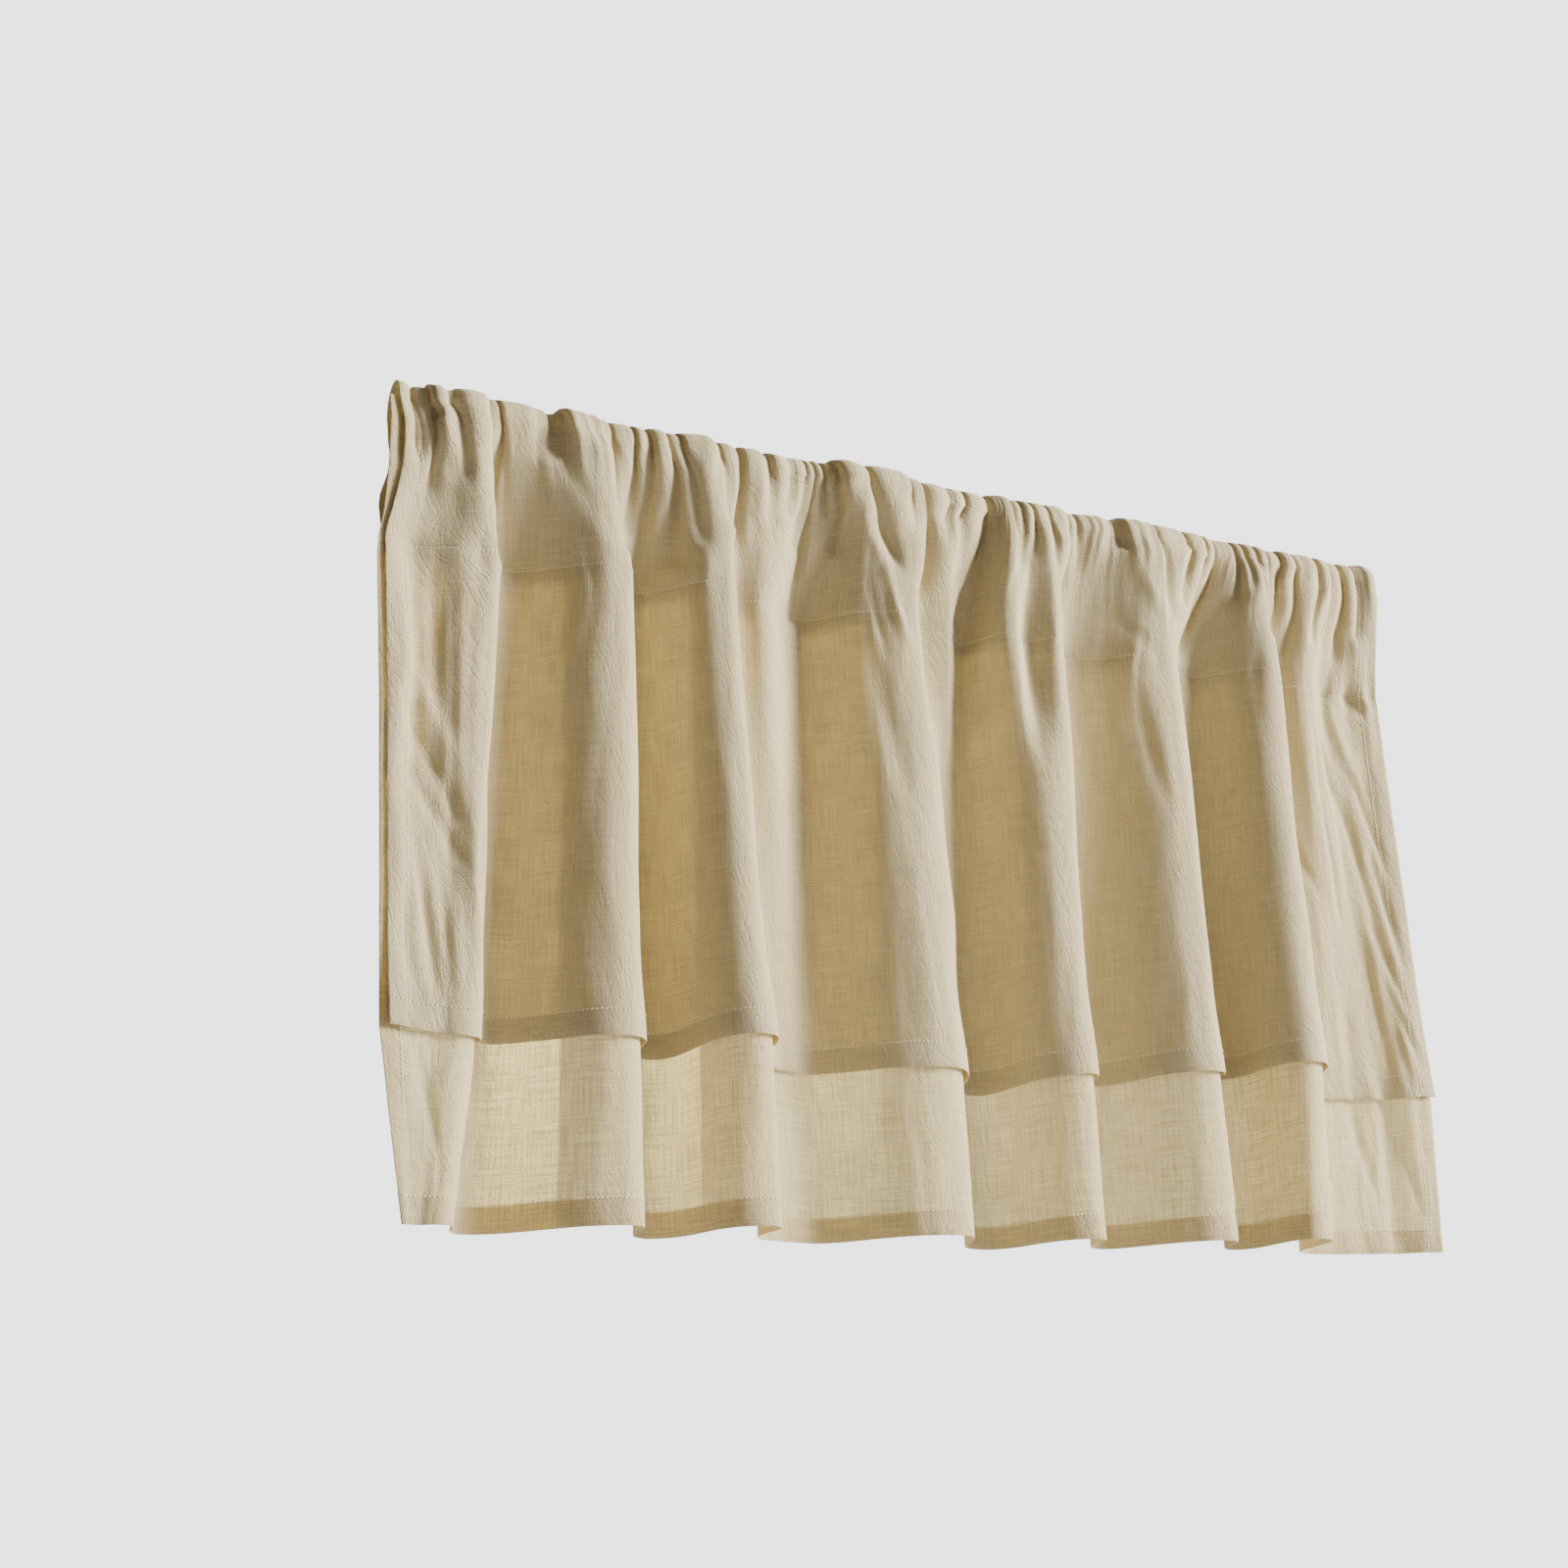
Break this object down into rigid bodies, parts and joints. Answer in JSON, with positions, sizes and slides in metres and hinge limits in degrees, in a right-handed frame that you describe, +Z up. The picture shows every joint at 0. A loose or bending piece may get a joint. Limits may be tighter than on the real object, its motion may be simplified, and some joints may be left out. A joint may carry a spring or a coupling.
{
  "type": "two-tier cafe curtain",
  "caption": "Linen cafe curtain: a short front tier over a longer back tier, both gathered on one deep rod pocket.",
  "frame": {"origin": "on the axis of the rod space in the gathered top edge, halfway along it", "axes": "+X along the rod, to the right as seen from the room; +Y away from the room, towards the window; +Z up"},
  "size_m": [0.9242, 0.091, 0.5946],
  "materials": {
    "front_linen": "plain-woven natural linen, soft and matt, a little translucent",
    "back_linen": "plain-woven natural linen, soft and matt, translucent where one layer hangs alone"
  },
  "bodies": {
    "root": {"front_panel": "front_linen", "back_panel": "back_linen"}
  },
  "joints": []
}
